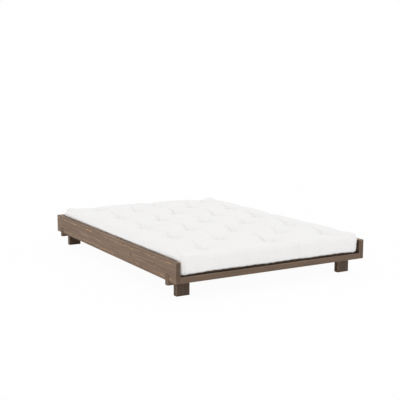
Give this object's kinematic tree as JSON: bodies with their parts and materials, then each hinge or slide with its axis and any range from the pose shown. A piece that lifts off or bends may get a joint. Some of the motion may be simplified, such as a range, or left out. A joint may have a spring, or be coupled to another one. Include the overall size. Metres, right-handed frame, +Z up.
{
  "type": "futon platform bed",
  "caption": "Low wooden platform bed with raised side boards, short legs under cross beams, a slatted base and a tufted cotton futon that lifts off.",
  "frame": {"origin": "on the floor under the middle of the bed", "axes": "+Y along the bed towards the head board, +X across it, +Z up"},
  "size_m": [1.508, 2.08, 0.2856],
  "materials": {
    "stained_pine": "grey-brown stain, satin, open grain",
    "slat_pine": "planed and unfinished",
    "zinc_steel": "bright zinc",
    "cotton_cover": "plain woven cotton, matt",
    "cotton_filling": "loose cotton felt",
    "foam": "open-cell foam",
    "webbing": "woven cotton tape"
  },
  "bodies": {
    "frame": {"side_board_left": "stained_pine", "side_board_right": "stained_pine", "head_board": "stained_pine", "foot_rail": "stained_pine", "cross_beam_foot": "stained_pine", "cross_beam_head": "stained_pine", "leg_foot_left": "stained_pine", "leg_foot_right": "stained_pine", "leg_head_left": "stained_pine", "leg_head_right": "stained_pine", "center_rail": "stained_pine", "center_leg": "stained_pine", "ledger_left": "stained_pine", "ledger_right": "stained_pine", "slat_01": "slat_pine", "slat_02": "slat_pine", "slat_03": "slat_pine", "slat_04": "slat_pine", "slat_05": "slat_pine", "slat_06": "slat_pine", "slat_07": "slat_pine", "slat_08": "slat_pine", "slat_09": "slat_pine", "slat_10": "slat_pine", "slat_11": "slat_pine", "slat_12": "slat_pine", "slat_13": "slat_pine", "slat_14": "slat_pine", "webbing_left": "webbing", "webbing_right": "webbing", "corner_bracket_head_left": "zinc_steel", "corner_bracket_head_right": "zinc_steel", "corner_bracket_foot_left": "zinc_steel", "corner_bracket_foot_right": "zinc_steel", "bracket_screw_head_left_1": "zinc_steel", "bracket_screw_head_left_2": "zinc_steel", "bracket_screw_head_right_1": "zinc_steel", "bracket_screw_head_right_2": "zinc_steel", "bracket_screw_foot_left_1": "zinc_steel", "bracket_screw_foot_left_2": "zinc_steel", "bracket_screw_foot_right_1": "zinc_steel", "bracket_screw_foot_right_2": "zinc_steel", "ledger_screw_left_1": "zinc_steel", "ledger_screw_left_2": "zinc_steel", "ledger_screw_left_3": "zinc_steel", "ledger_screw_right_1": "zinc_steel", "ledger_screw_right_2": "zinc_steel", "ledger_screw_right_3": "zinc_steel", "leg_bolt_foot_left": "zinc_steel", "leg_bolt_foot_right": "zinc_steel", "leg_bolt_head_left": "zinc_steel", "leg_bolt_head_right": "zinc_steel", "center_leg_bolt": "zinc_steel"},
    "futon": {"futon_cover": "cotton_cover", "futon_underside": "cotton_cover", "cotton_layer_bottom": "cotton_filling", "foam_core": "foam", "cotton_layer_top": "cotton_filling"}
  },
  "joints": [
    {"name": "futon_lift", "type": "slide", "parent": "frame", "child": "futon", "axis": [0, 0, 1], "range_m": [0, 0.3]}
  ]
}
